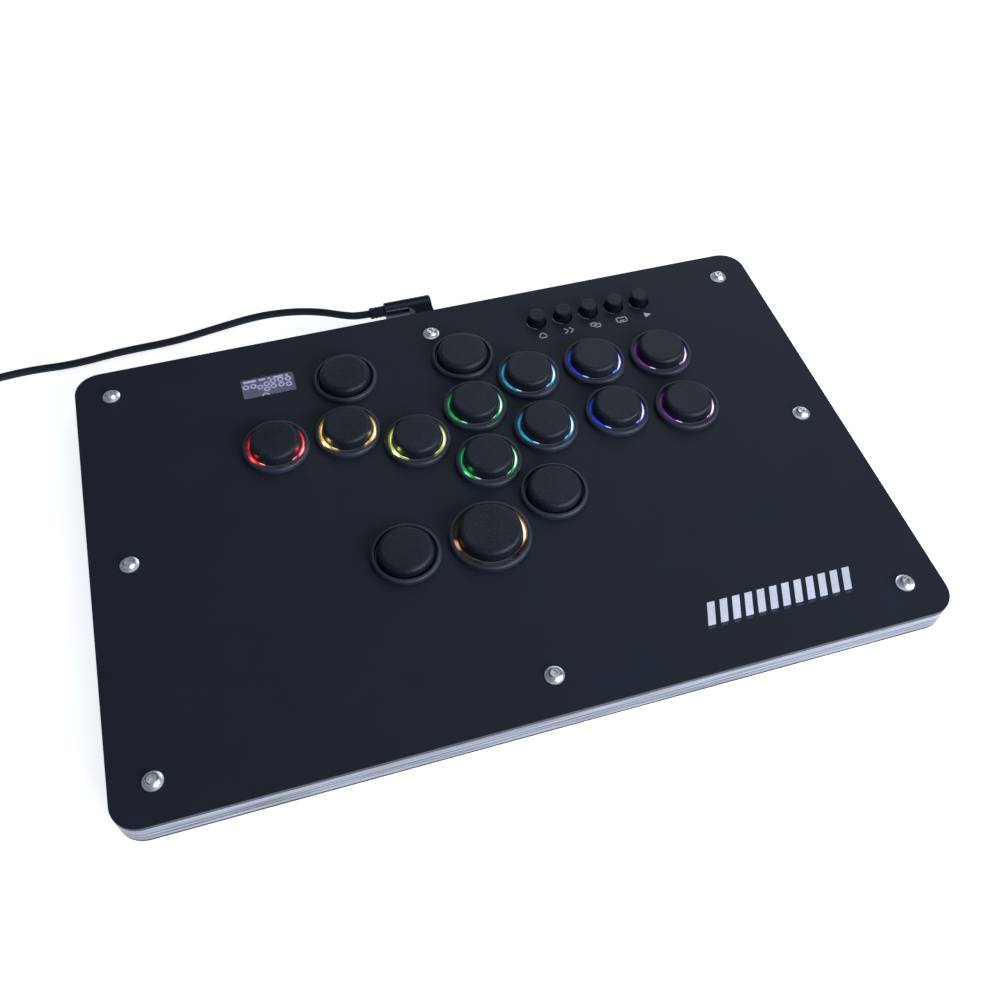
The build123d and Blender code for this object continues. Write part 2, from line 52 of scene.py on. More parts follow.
# ---------------------------------------------------------------- camera
def make_camera():
    """A 38 mm lens on a full frame, in front of the left side and well above the case."""
    azimuth, elevation, roll = 17.9, 53.65, 1.67
    data = bpy.data.cameras.new("camera")
    data.sensor_width = 36.0
    data.lens = 37.99
    camera = bpy.data.objects.new("camera", data)
    camera.location = (-0.07074, -0.23788, DECK + 0.32743)
    turn = Euler((0, 0, radians(-azimuth))).to_matrix()
    tilt = Euler((radians(90 - elevation), 0, 0)).to_matrix()
    lean = Euler((0, 0, radians(roll))).to_matrix()
    camera.rotation_euler = (turn @ tilt @ lean).to_euler()
    SCENE.collection.objects.link(camera)
    SCENE.camera = camera


make_camera()


# ---------------------------------------------------------------- material helpers
def new_material(name):
    """A material, its node tree and shader, and a function that adds nodes to it."""
    material = bpy.data.materials.new(name)
    material.use_nodes = True
    tree = material.node_tree
    shader = next(node for node in tree.nodes if node.type == "BSDF_PRINCIPLED")

    def add(kind, links=None, operation=None, **values):
        node = tree.nodes.new(kind)
        if operation:
            node.operation = operation
        for key, value in values.items():
            node.inputs[key.replace("_", " ")].default_value = value
        for socket, source in (links or {}).items():
            if isinstance(source, (int, float)):
                node.inputs[socket].default_value = source
            else:
                tree.links.new(source, node.inputs[socket])
        return node

    return material, tree, shader, add


def math(add, operation, first, second=0.0):
    return add("ShaderNodeMath", {0: first, 1: second}, operation=operation).outputs[0]


def ramp_of(add, factor, stops, interpolation="LINEAR"):
    """A colour ramp with the given (position, colour) stops."""
    node = add("ShaderNodeValToRGB", {0: factor})
    node.color_ramp.interpolation = interpolation
    elements = node.color_ramp.elements
    while len(elements) < len(stops):
        elements.new(0.5)
    for element, (position, colour) in zip(elements, stops):
        element.position = position
        element.color = (*colour, 1)
    return node.outputs["Color"]


def spread(add, factor, low, high):
    """The factor's 0 to 1 carried to low to high."""
    node = add("ShaderNodeMapRange", {0: factor})
    node.inputs["To Min"].default_value = low
    node.inputs["To Max"].default_value = high
    return node.outputs[0]


def shade(colour, factor):
    return tuple(min(1.0, channel * factor) for channel in colour)


def moulded(name, colour, roughness, grain, depth, uneven=0.15, specular=0.5, coat=0.0, cool=0.0):
    """Moulded, printed or anodised finish: a grain of the given size and depth in mm."""
    material, tree, shader, add = new_material(name)
    place = add("ShaderNodeTexCoord").outputs["Object"]
    fine = add("ShaderNodeTexNoise", {"Vector": place}, Scale=1 / (grain * MM), Detail=3.0)
    broad = add("ShaderNodeTexNoise", {"Vector": place}, Scale=60.0, Detail=4.0)
    mixed = math(add, "MULTIPLY", fine.outputs["Fac"], broad.outputs["Fac"])
    tone = ramp_of(add, mixed, [
        (0.12, shade(colour, 1 - uneven)), (0.4, shade(colour, 1 + uneven)),
    ])
    tree.links.new(tone, shader.inputs["Base Color"])
    dull = spread(add, broad.outputs["Fac"], roughness - 0.06, roughness + 0.06)
    tree.links.new(dull, shader.inputs["Roughness"])
    bump = add("ShaderNodeBump", {"Height": fine.outputs["Fac"]}, Distance=depth * MM)
    tree.links.new(bump.outputs[0], shader.inputs["Normal"])
    shader.inputs["Specular IOR Level"].default_value = specular
    shader.inputs["Specular Tint"].default_value = (1 - cool, 1 - 0.7 * cool, 1.0, 1)
    shader.inputs["Coat Weight"].default_value = coat
    shader.inputs["Coat Roughness"].default_value = 0.15
    return material


def metal(name, colour, roughness):
    """Turned or drawn steel with faint scratches."""
    material, tree, shader, add = new_material(name)
    place = add("ShaderNodeTexCoord").outputs["Object"]
    fine = add("ShaderNodeTexNoise", {"Vector": place}, Scale=900.0, Detail=5.0)
    tone = ramp_of(add, fine.outputs["Fac"], [(0.3, shade(colour, 0.86)), (0.7, colour)])
    tree.links.new(tone, shader.inputs["Base Color"])
    dull = spread(add, fine.outputs["Fac"], roughness * 0.6, roughness * 1.4)
    tree.links.new(dull, shader.inputs["Roughness"])
    bump = add("ShaderNodeBump", {"Height": fine.outputs["Fac"]}, Distance=0.004 * MM)
    tree.links.new(bump.outputs[0], shader.inputs["Normal"])
    shader.inputs["Metallic"].default_value = 1.0
    return material


def acrylic_edge(name, colour, specular=0.5):
    """Laser-cut clear acrylic seen from its side: cloudy and pale, with faint cut marks."""
    material, tree, shader, add = new_material(name)
    place = add("ShaderNodeTexCoord").outputs["Object"]
    upright = add("ShaderNodeMapping", {"Vector": place}, Scale=(1.0, 1.0, 0.12))
    cuts = add("ShaderNodeTexNoise", {"Vector": upright.outputs[0]}, Scale=900.0, Detail=2.0)
    level = add("ShaderNodeMapping", {"Vector": place}, Scale=(0.14, 0.14, 4.5))
    streaks = add("ShaderNodeTexNoise", {"Vector": level.outputs[0]}, Scale=230.0, Detail=3.0)
    tone = ramp_of(add, streaks.outputs["Fac"], [
        (0.36, shade(colour, 0.50)), (0.50, colour), (0.64, shade(colour, 1.40)),
    ])
    tree.links.new(tone, shader.inputs["Base Color"])
    dull = spread(add, cuts.outputs["Fac"], 0.24, 0.44)
    tree.links.new(dull, shader.inputs["Roughness"])
    bump = add("ShaderNodeBump", {"Height": cuts.outputs["Fac"]}, Distance=0.006 * MM)
    tree.links.new(bump.outputs[0], shader.inputs["Normal"])
    shader.inputs["Specular IOR Level"].default_value = specular
    return material


def glowing(name, colour, scale=900.0):
    """A lit display element, a little uneven in brightness."""
    material, tree, shader, add = new_material(name)
    place = add("ShaderNodeTexCoord").outputs["Object"]
    noise = add("ShaderNodeTexNoise", {"Vector": place}, Scale=scale, Detail=2.0)
    tone = ramp_of(add, noise.outputs["Fac"], [(0.3, shade(colour, 0.75)), (0.7, colour)])
    tree.links.new(tone, shader.inputs["Emission Color"])
    shader.inputs["Emission Strength"].default_value = 1.0
    shader.inputs["Base Color"].default_value = (0.02, 0.02, 0.025, 1)
    shader.inputs["Roughness"].default_value = 0.4
    return material


def dress(material, *names):
    """Give CAD nodes their material."""
    for name in names:
        slots = NODES[name].data.materials
        slots.clear()
        slots.append(material)


def dress_faces(name, material, flattest, steepest=0.0):
    """Give the CAD node's faces whose normals rise within these limits one more material."""
    mesh = NODES[name].data
    mesh.materials.append(material)
    for face in mesh.polygons:
        if steepest <= abs(face.normal.z) < flattest:
            face.material_index = len(mesh.materials) - 1


# ---------------------------------------------------------------- mesh helpers
def new_piece(name, vertices, faces, material):
    """A mesh piece that rides on the case."""
    mesh = bpy.data.meshes.new(name)
    mesh.from_pydata([tuple(vertex) for vertex in vertices], [], faces)
    mesh.update()
    piece = bpy.data.objects.new(name, mesh)
    SCENE.collection.objects.link(piece)
    mesh.materials.append(material)
    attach(piece, CASE)
    return piece


class Plates:
    """Thin flat shapes, in mm, gathered into one piece."""

    def __init__(self, bottom, top):
        self.bottom, self.top = bottom, top
        self.vertices, self.faces = [], []

    def add(self, outline):
        """A flat plate with a convex outline, given anticlockwise."""
        first, count = len(self.vertices), len(outline)
        self.vertices += [Vector((x, y, self.bottom)) * MM for x, y in outline]
        self.vertices += [Vector((x, y, self.top)) * MM for x, y in outline]
        self.faces.append(tuple(first + count + index for index in range(count)))
        self.faces.append(tuple(first + index for index in reversed(range(count))))
        for index in range(count):
            after = (index + 1) % count
            self.faces.append((
                first + index, first + after, first + count + after, first + count + index,
            ))

    def bar(self, x, y, width, height, slant=0.0):
        """An upright or slanted bar, centred on (x, y)."""
        w, h = width / 2, height / 2
        self.add([
            (x - w - slant / 2, y - h), (x + w - slant / 2, y - h),
            (x + w + slant / 2, y + h), (x - w + slant / 2, y + h),
        ])

    def line(self, start, end, width):
        """A straight stroke."""
        along = Vector((end[0] - start[0], end[1] - start[1])).normalized() * width / 2
        across = Vector((-along.y, along.x))
        a, b = Vector(start) - along, Vector(end) + along
        self.add([tuple(a - across), tuple(b - across), tuple(b + across), tuple(a + across)])

    def loop(self, points, width):
        """A closed outline drawn with strokes."""
        for start, end in zip(points, points[1:] + points[:1]):
            self.line(start, end, width)

    def ring(self, x, y, radius, width, sides=20):
        """A flat ring with open walls inside and out."""
        first = len(self.vertices)
        for reach in (radius - width / 2, radius + width / 2):
            for height in (self.bottom, self.top):
                for side in range(sides):
                    angle = tau * side / sides
                    self.vertices.append(
                        Vector((x + reach * cos(angle), y + reach * sin(angle), height)) * MM
                    )
        inner_low, inner_high, outer_low, outer_high = (
            first + sides * index for index in range(4)
        )
        for side in range(sides):
            after = (side + 1) % sides
            for a, b in (
                (inner_high, inner_low), (outer_low, outer_high),
                (outer_high, inner_high), (inner_low, outer_low),
            ):
                self.faces.append((a + side, a + after, b + after, b + side))

    def piece(self, name, material, slot):
        return new_piece(name, self.vertices, self.faces, material)


def lathe(name, profile, centre, material, sides=144):
    """A closed ring turned about a vertical axis. u runs round it, and v along the profile."""
    count = len(profile)
    vertices = [
        Vector((
            centre[0] + radius * MM * cos(tau * side / sides),
            centre[1] + radius * MM * sin(tau * side / sides),
            DECK + height * MM,
        ))
        for side in range(sides) for radius, height in profile
    ]
    faces, corners = [], []
    for side in range(sides):
        after = (side + 1) % sides
        for step in range(count):
            onward = (step + 1) % count
            faces.append((
                side * count + step, after * count + step,
                after * count + onward, side * count + onward,
            ))
            corners.append([
                (side, step), (side + 1, step), (side + 1, step + 1), (side, step + 1),
            ])
    piece = new_piece(name, vertices, faces, material)
    uv = piece.data.uv_layers.new(name="UVMap")
    for face, places in zip(piece.data.polygons, corners):
        for loop, (around, along) in zip(face.loop_indices, places):
            uv.data[loop].uv = (around / sides, along / count)
    piece.data.shade_smooth()
    return piece


# ---------------------------------------------------------------- USB lead
CABLE_DIAMETER = 3.3 * MM

# The stretch that lies open, from the plug's collar to the coil, in mm
LEAD_ROUTE = [
    (-22.0, 111.0, 6.58),
    (-27.6, 111.0, 6.58),
    (-33.4, 113.1, 6.6),
    (-43.5, 119.0, 6.1),
    (-56.0, 124.1, 4.6),
    (-71.0, 127.2, 2.7),
    (-89.0, 125.6, 1.65),
    (-109.0, 122.2, 1.65),
    (-131.0, 122.3, 1.65),
    (-152.0, 119.8, 1.65),
    (-171.0, 121.4, 1.65),
    (-190.0, 119.6, 1.8),
    (-207.0, 120.5, 2.35),
]
TAIL_ROUTE = [
    (-243.45, 85.2, 5.65),
    (-243.65, 80.8, 5.0),
    (-243.45, 76.4, 4.0),
    (-243.45, 72.0, 4.0),
]


def coil_route():
    """Four turns inwards along the floor, then four and a quarter out again on top of them."""
    centre_x, centre_y = -219.0, 96.2
    outer, inner, pitch = 24.45, 14.55, 3.3
    low, high = 2.35, 5.65
    per_turn, climb = 18, 0.15
    ease = 1 / cos(pi / per_turn) ** 0.5
    points = []
    for step in range(int(8.25 * per_turn) + 1):
        turn = step / per_turn
        whole, part = divmod(turn, 1)
        shift = max(0.0, part - 1 + climb) / climb
        if turn < 4:
            radius = max(outer - pitch * (whole + shift), inner)
            rise = shift if whole == 3 else 0.0
        else:
            radius = min(inner + pitch * (whole - 4 + shift), outer)
            rise = 1.0
        angle = pi / 2 + turn * tau
        points.append((
            centre_x + radius * ease * cos(angle),
            centre_y + radius * ease * sin(angle),
            low + (high - low) * rise,
        ))
    return points


def spline_points(route, name):
    """Points along the smooth NURBS line of a route given in mm."""
    curve = bpy.data.curves.new(name, "CURVE")
    curve.dimensions = "3D"
    spline = curve.splines.new("NURBS")
    spline.points.add(len(route) - 1)
    for point, place in zip(spline.points, route):
        point.co = (*(value * MM for value in place), 1)
    spline.order_u = 3
    spline.use_endpoint_u = True
    spline.resolution_u = 9
    holder = bpy.data.objects.new(name, curve)
    SCENE.collection.objects.link(holder)
    bpy.context.view_layer.update()
    line = bpy.data.meshes.new_from_object(holder)
    points = [vertex.co.copy() for vertex in line.vertices]
    bpy.data.objects.remove(holder)
    bpy.data.meshes.remove(line)
    return points


def tube(name, path, radius, material, sides=16):
    """A closed tube with a UV map: u runs once round it, v counts diameters along it."""
    vertices, faces, travelled = [], [], [0.0]
    for start, end in zip(path, path[1:]):
        travelled.append(travelled[-1] + (end - start).length)
    across = Vector((0, 0, 1))
    for index, point in enumerate(path):
        ahead = (path[min(index + 1, len(path) - 1)] - path[max(index - 1, 0)]).normalized()
        across = (across - ahead * across.dot(ahead)).normalized()
        beside = ahead.cross(across)
        for side in range(sides):
            angle = tau * side / sides
            vertices.append(point + radius * (cos(angle) * across + sin(angle) * beside))
    corners = []
    for ring in range(len(path) - 1):
        for side in range(sides):
            after = (side + 1) % sides
            faces.append((
                ring * sides + side, ring * sides + after,
                (ring + 1) * sides + after, (ring + 1) * sides + side,
            ))
            corners.append([
                (side, ring), (side + 1, ring), (side + 1, ring + 1), (side, ring + 1),
            ])
    faces.append(tuple(reversed(range(sides))))
    faces.append(tuple((len(path) - 1) * sides + side for side in range(sides)))
    piece = new_piece(name, vertices, faces, material)
    uv = piece.data.uv_layers.new(name="UVMap")
    for face, places in zip(piece.data.polygons, corners):
        face.use_smooth = True
        for loop, (around, ring) in zip(face.loop_indices, places):
            uv.data[loop].uv = (around / sides, travelled[ring] / (2 * radius))
    return piece, travelled[-1]


def braid_material():
    """Nylon braid: two sets of flat strands that cross over and under each other."""
    material, tree, shader, add = new_material("cable_braid")
    parts = add("ShaderNodeSeparateXYZ", {0: add("ShaderNodeTexCoord").outputs["UV"]})
    strands, twist = 8.0, 0.42

    def slant(sign):
        along = math(add, "MULTIPLY", parts.outputs["Y"], sign * twist)
        turned = math(add, "ADD", parts.outputs["X"], along)
        return math(add, "SINE", math(add, "MULTIPLY", turned, strands * tau))

    crossing = math(add, "MULTIPLY", slant(1), slant(-1))
    height = math(add, "MULTIPLY_ADD", crossing, 0.5)
    height.node.inputs[2].default_value = 0.5
    tone = ramp_of(add, height, [
        (0.1, (0.002, 0.002, 0.004)), (0.5, (0.004, 0.005, 0.009)), (0.95, (0.022, 0.024, 0.036)),
    ])
    tree.links.new(tone, shader.inputs["Base Color"])
    bump = add("ShaderNodeBump", {"Height": height}, Distance=0.14 * MM)
    tree.links.new(bump.outputs[0], shader.inputs["Normal"])
    shader.inputs["Roughness"].default_value = 0.55
    shader.inputs["Specular IOR Level"].default_value = 0.25
    shader.inputs["Specular Tint"].default_value = (0.6, 0.75, 1.0, 1)
    return material


def make_lead():
    path = spline_points(LEAD_ROUTE + coil_route() + TAIL_ROUTE, "lead_line")
    lead, length = tube("usb_lead", path, CABLE_DIAMETER / 2, braid_material())
    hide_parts("usb_cable", "cable_coil")


make_lead()


# ---------------------------------------------------------------- case, boards and plugs
PALE = (0.200, 0.216, 0.284)
JOINT = (0.010, 0.011, 0.016)


def make_painted_glints():
    """Painted highlights: thin pale strips on the deck stand for the light that the near edges of
    the function buttons' holes catch from the board below.
    """
    reach, width = 4.6, 0.26
    glints = Plates(DECK / MM, DECK / MM + 0.02)
    for number in range(1, 6):
        low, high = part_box(f"function_cap_{number}")
        middle = (low + high) / 2 / MM
        points = [
            (middle.x + reach * cos(radians(angle)), middle.y + reach * sin(radians(angle)))
            for angle in range(182, 255, 9)
        ]
        for start, end in zip(points, points[1:]):
            glints.line(start, end, width)
    # The strips are painted highlights in a pale acrylic edge finish, not lit edges.
    glints.piece("hole_glints", acrylic_edge("painted_edge_glint", (0.30, 0.32, 0.38)), "panel_acrylic")


def finish_frame():
    """Finishes for the CAD nodes that stay on show."""
    panel = moulded("panel_acrylic", (0.0085, 0.0122, 0.0228), 0.58, 0.30, 0.030, 0.14, 0.20)
    dress(panel, "top_panel")
    dress_faces("top_panel", acrylic_edge("panel_edge", (0.034, 0.038, 0.055), 0.14), 0.3)
    make_painted_glints()
    layers = "lower_frame", "middle_frame", "upper_frame"
    dress(acrylic_edge("clear_acrylic", PALE), *layers)
    joint = acrylic_edge("acrylic_joint", JOINT, 0.15)
    for layer in layers:
        dress_faces(layer, joint, 0.9, 0.3)
    dress(
        moulded("base_acrylic", (0.010, 0.010, 0.014), 0.5, 0.4, 0.004, specular=0.15),
        "base_plate",
    )
    dress(metal("screw_steel", (0.86, 0.87, 0.90), 0.36), "case_screws")
    dress(metal("nut_steel", (0.62, 0.62, 0.64), 0.30), "sleeve_nuts")
    dress(moulded("foot_rubber", (0.012, 0.012, 0.012), 0.75, 0.5, 0.03), "rubber_feet")
    dress(moulded("sheet_silicone", (0.03, 0.03, 0.035), 0.6, 0.6, 0.02), "insulating_sheet")
    dress(
        moulded("circuit_board", (0.010, 0.012, 0.016), 0.35, 0.8, 0.015, 0.3, coat=0.3),
        "main_board", "display_board",
    )
    dress(moulded("chip_plastic", (0.015, 0.015, 0.016), 0.5, 0.2, 0.01), "controller_chips")
    dress(moulded("lamp_plastic", (0.75, 0.74, 0.62), 0.3, 0.3, 0.005), "button_leds")
    dress(
        moulded("switch_plastic", (0.02, 0.02, 0.022), 0.45, 0.3, 0.01),
        "key_switches", "function_switches",
    )
    dress(metal("spring_steel", (0.66, 0.64, 0.60), 0.22), "return_springs")
    dress(
        metal("connector_steel", (0.58, 0.58, 0.60), 0.26),
        "usb_socket", "plug_shell", "far_plug_shell",
    )
    dress(
        moulded("plug_plastic", (0.003, 0.004, 0.009), 0.22, 0.3, 0.006, 0.2, 0.60, cool=0.35),
        "plug_body", "far_plug_body",
    )
    # The neck's flat side is duller than the round barrel.
    flat = moulded("plug_flat", (0.003, 0.004, 0.008), 0.5, 0.3, 0.006, 0.2, 0.06)
    dress_faces("plug_body", flat, 1.01, 0.985)
    dress(
        moulded("collar_plastic", (0.005, 0.006, 0.012), 0.55, 0.35, 0.02, 0.2, 0.30, cool=0.4),
        "plug_collar",
    )
    dress(moulded("tie_fabric", (0.012, 0.012, 0.014), 0.85, 0.35, 0.08, 0.4), "coil_tie")


def finish_buttons():
    rims = [name for name in NODES if name.endswith("_rims") or name == "up_rim"]
    caps = [name for name in NODES if "_cap" in name and not name.startswith("function")]
    function_caps = [name for name in NODES if name.startswith("function_cap")]
    dress(moulded("rim_plastic", (0.0185, 0.0240, 0.0400), 0.48, 0.55, 0.130, 0.45, 0.40), *rims)
    dress(
        moulded("cap_plastic", (0.0068, 0.0094, 0.0178), 0.46, 0.60, 0.180, 0.55, 0.30, cool=0.1),
        *caps,
    )
    dress(
        moulded(
            "function_cap_plastic", (0.0040, 0.0056, 0.0105), 0.36, 0.3, 0.02, 0.15, 0.20,
            cool=0.25,
        ),
        *function_caps,
    )


finish_frame()
finish_buttons()


# ---------------------------------------------------------------- light rings
# Where the light lies on a ring, by degrees anticlockwise from the right. Across the ring, 0 is
# beside the cap and 1 is the outer lip. The bright band has a middle, a half width and a level.
BAND = [
    (0, 0.50, 0.20, 0.95), (14, 0.58, 0.15, 0.60), (28, 0.66, 0.12, 0.0),
    (128, 0.66, 0.12, 0.0), (146, 0.50, 0.15, 0.50), (162, 0.40, 0.16, 0.75),
    (176, 0.28, 0.18, 0.45), (190, 0.14, 0.20, 0.60), (210, 0.02, 0.16, 0.62),
    (224, 0.00, 0.10, 0.10), (312, 0.08, 0.20, 0.0), (323, 0.12, 0.25, 0.35),
    (331, 0.20, 0.38, 1.3), (346, 0.36, 0.32, 1.7),
]
# The dim light round it, as (degrees, level)
HAZE = [
    (0, 0.36), (16, 0.20), (30, 0.03), (60, 0.0), (122, 0.0), (138, 0.22), (156, 0.38),
    (176, 0.24), (190, 0.42), (206, 0.52), (222, 0.30), (236, 0.16), (244, 0.0), (293, 0.0),
    (299, 0.22), (322, 0.46), (345, 0.42),
]
# The grey below is a painted reflection: the ring gives off grey light at its front in place of the
# studio light reflected there.
FRONT_PAINTED_SHEEN = (0.030, 0.032, 0.043)
SMALL_RING = {"inner": 10.35, "outer": 11.65, "skirt": 11.05}
BIG_RING = {"inner": 12.4, "outer": 13.95, "skirt": 13.25}


def mix(first, second, share):
    return tuple(a * (1 - share) + b * share for a, b in zip(first, second))


# The colour sockets of a Mix node, which share their names with its number sockets
MIX_A, MIX_B, MIX_RESULT = 6, 7, 2


def product(add, first, second, blend="MULTIPLY"):
    """Two colours multiplied or added."""
    node = add("ShaderNodeMix", {"Factor": 1.0})
    node.data_type, node.blend_type = "RGBA", blend
    node.id_data.links.new(first, node.inputs[MIX_A])
    if isinstance(second, tuple):
        node.inputs[MIX_B].default_value = (*second, 1)
    else:
        node.id_data.links.new(second, node.inputs[MIX_B])
    return node.outputs[MIX_RESULT]


def ring_stops(hue, turn, west, east, front):
    """Colour ramp stops round a ring: the band's shape, its colour, and the dim light."""
    shapes, colours, hazes = [], [], []
    for angle, middle, half, level in BAND:
        if 120 < angle < 235:
            level = level * west
            white = 0.04 if west < 1 else 0.18
        # On the right the band's colour is mixed with white: a painted reflection of the softbox,
        # laid over the lamps' colour.
        else:
            white = (0.40 if angle in (14, 28) else 0.70) * east
            level = level * east
        place = angle + (turn if angle > 300 or angle < 40 else 0.0)
        shapes.append((place % 360 / 360, (middle, half, 0.0)))
        colours.append((place % 360 / 360, shade(mix(hue, (1.0,) * 3, white), level / 1.3)))
    for angle, level in HAZE:
        if 180 < angle < 250 or 290 < angle < 325:
            level *= front
        elif 120 < angle < 181:
            level *= min(1.0, west)
        place = (angle + (turn if angle > 321 or angle < 40 else 0.0)) % 360 / 360
        hazes.append((place, FRONT_PAINTED_SHEEN if angle in (244, 293) else shade(hue, level)))
    for stops in (shapes, colours, hazes):
        stops.sort()
        first, last = stops[0], stops[-1]
        gap = first[0] + 1 - last[0]
        seam = mix(last[1], first[1], (1 - last[0]) / gap)
        stops[:] = [(0.0, seam)] + stops + [(1.0, seam)]
    return shapes, colours, hazes


def ring_material(name, hue, turn, west, east, blob, glow, front, lamp):
    """A clear ring lit from below: its light changes round it and across it. The emission is the
    lamps' light, with painted highlights and painted reflections of the studio lights mixed in.

    turn moves the right-hand light round, west and east scale the bands of light, blob is the
    lamp that shows at the front left, glow the one at the front right, and front the dim light
    and the glints there. The left lamp stands at `lamp` degrees.
    """
    material, tree, shader, add = new_material(name)
    parts = add("ShaderNodeSeparateXYZ", {0: add("ShaderNodeTexCoord").outputs["UV"]})
    around, along = parts.outputs["X"], parts.outputs["Y"]
    # Fine ribs run across the ring.
    spun = add("ShaderNodeCombineXYZ", {0: math(add, "MULTIPLY", around, 150.0)})
    ribs = add("ShaderNodeTexNoise", {"Vector": spun.outputs[0]}, Scale=1.0, Detail=1.0)
    ribs = spread(add, ribs.outputs["Fac"], -0.3, 2.3)

    shapes, colours, hazes = ring_stops(hue, turn, west, east, front)
    shape = add("ShaderNodeSeparateXYZ", {0: ramp_of(add, around, shapes)})
    off = math(add, "ABSOLUTE", math(add, "SUBTRACT", along, math(
        add, "MULTIPLY", shape.outputs["X"], 0.4,
    )))
    inside = add("ShaderNodeMapRange", {
        0: math(add, "DIVIDE", off, math(add, "MULTIPLY", shape.outputs["Y"], 0.4)),
    })
    inside.interpolation_type = "SMOOTHSTEP"
    for socket, value in (("From Min", 0.35), ("From Max", 1.25), ("To Min", 1.3), ("To Max", 0.0)):
        inside.inputs[socket].default_value = value
    band = product(add, ramp_of(add, around, colours), inside.outputs[0])
    fade = ramp_of(add, along, [
        (0.0, (0.7,) * 3), (0.16, (1.0,) * 3), (0.40, (0.6,) * 3), (0.47, (0.0,) * 3),
        (0.84, (0.0,) * 3), (0.88, (0.6,) * 3), (0.95, (0.8,) * 3), (1.0, (0.7,) * 3),
    ])
    haze = product(add, product(add, ramp_of(add, around, hazes), fade), ribs)
    total = product(add, band, haze, "ADD")

    def spot(start, peak, stop, colour):
        """Light from one lamp, all the way across the ring."""
        stops = [(0.0, (0,) * 3), (start / 360, (0,) * 3), (peak / 360, colour),
                 ((peak + 7) / 360, shade(colour, 0.75)), (stop / 360, (0,) * 3), (1.0, (0,) * 3)]
        reach = ramp_of(add, along, [
            (0.0, (1.0,) * 3), (0.33, (0.9,) * 3), (0.44, (0.25,) * 3), (0.48, (0,) * 3),
        ])
        return product(add, ramp_of(add, around, stops, "EASE"), reach)

    if blob:
        pale = mix(hue, (1.0,) * 3, 0.10 + 0.45 * blob)
        lamp_light = spot(lamp - 10, lamp, lamp + 17, pale)
        total = product(add, total, product(add, lamp_light, (2.4 * blob,) * 3), "ADD")
    if glow:
        pale = mix(hue, (1.0,) * 3, 0.45)
        lamp_light = spot(316, 327, 346, pale)
        total = product(add, total, product(add, lamp_light, (1.8 * glow,) * 3), "ADD")
    # On the upstand beside the cap lie two short painted highlights (the glints) and a coloured
    # streak, partly the ring's own glow and partly painted light where the ring's light falls on
    # the cap's foot.
    glints = ramp_of(add, around, [
        (0.0, (0,) * 3), (221 / 360, (0,) * 3), (226 / 360, (1.0,) * 3), (235 / 360, (0.9,) * 3),
        (238 / 360, (0,) * 3), (299 / 360, (0,) * 3), (302 / 360, (0.9,) * 3),
        (309 / 360, (0.7,) * 3), (313 / 360, (0,) * 3), (1.0, (0,) * 3),
    ])
    edge = ramp_of(add, along, [
        (0.852, (0,) * 3), (0.86, (front,) * 3), (0.906, (front,) * 3), (0.914, (0,) * 3),
    ])
    total = product(add, total, product(add, glints, edge), "ADD")
    streak = ramp_of(add, around, [
        (0.0, (0,) * 3), (174 / 360, (0,) * 3), (190 / 360, shade(hue, 0.6 * west)),
        (208 / 360, shade(hue, 0.9 * west)), (220 / 360, shade(hue, 0.6)),
        (238 / 360, (0,) * 3), (299 / 360, (0,) * 3), (312 / 360, shade(hue, 0.5)),
        (330 / 360, shade(hue, 0.8)), (345 / 360, (0,) * 3), (1.0, (0,) * 3),
    ])
    inside = ramp_of(add, along, [
        (0.85, (0,) * 3), (0.875, (front,) * 3), (0.93, (0.5 * front,) * 3), (0.96, (0,) * 3),
    ])
    total = product(add, total, product(add, product(add, streak, inside), ribs), "ADD")
    tree.links.new(total, shader.inputs["Emission Color"])
    shader.inputs["Emission Strength"].default_value = 1.0
    tint = ramp_of(add, ribs, [(0.5, (0.012, 0.012, 0.015)), (1.0, (0.030, 0.031, 0.038))])
    tree.links.new(tint, shader.inputs["Base Color"])
    dull = ramp_of(add, along, [(0.45, (0.22,) * 3), (0.80, (0.75,) * 3)])
    tree.links.new(dull, shader.inputs["Roughness"])
    return material


def ring_profile(inner, outer, skirt):
    """Out along the hollow slope, down the outside, then up to the upstand (radius, height)."""
    slope = []
    for step in range(9):
        share = step / 8
        slope.append((
            inner + (outer - inner) * share,
            0.15 + 1.6 * share - 0.13 * sin(pi * share),
        ))
    outside = [(outer, 0.05), (skirt, 0.05), (skirt, -2.95), (inner, -2.95)]
    outside += [(inner - 0.02, -1.5), (inner - 0.04, 0.0), (inner - 0.08, 0.1)]
    upstand = [(inner - 0.15, 0.1), (inner - 0.17, 1.45), (inner - 0.02, 1.45), (inner - 0.01, 0.3)]
    return slope + outside + upstand


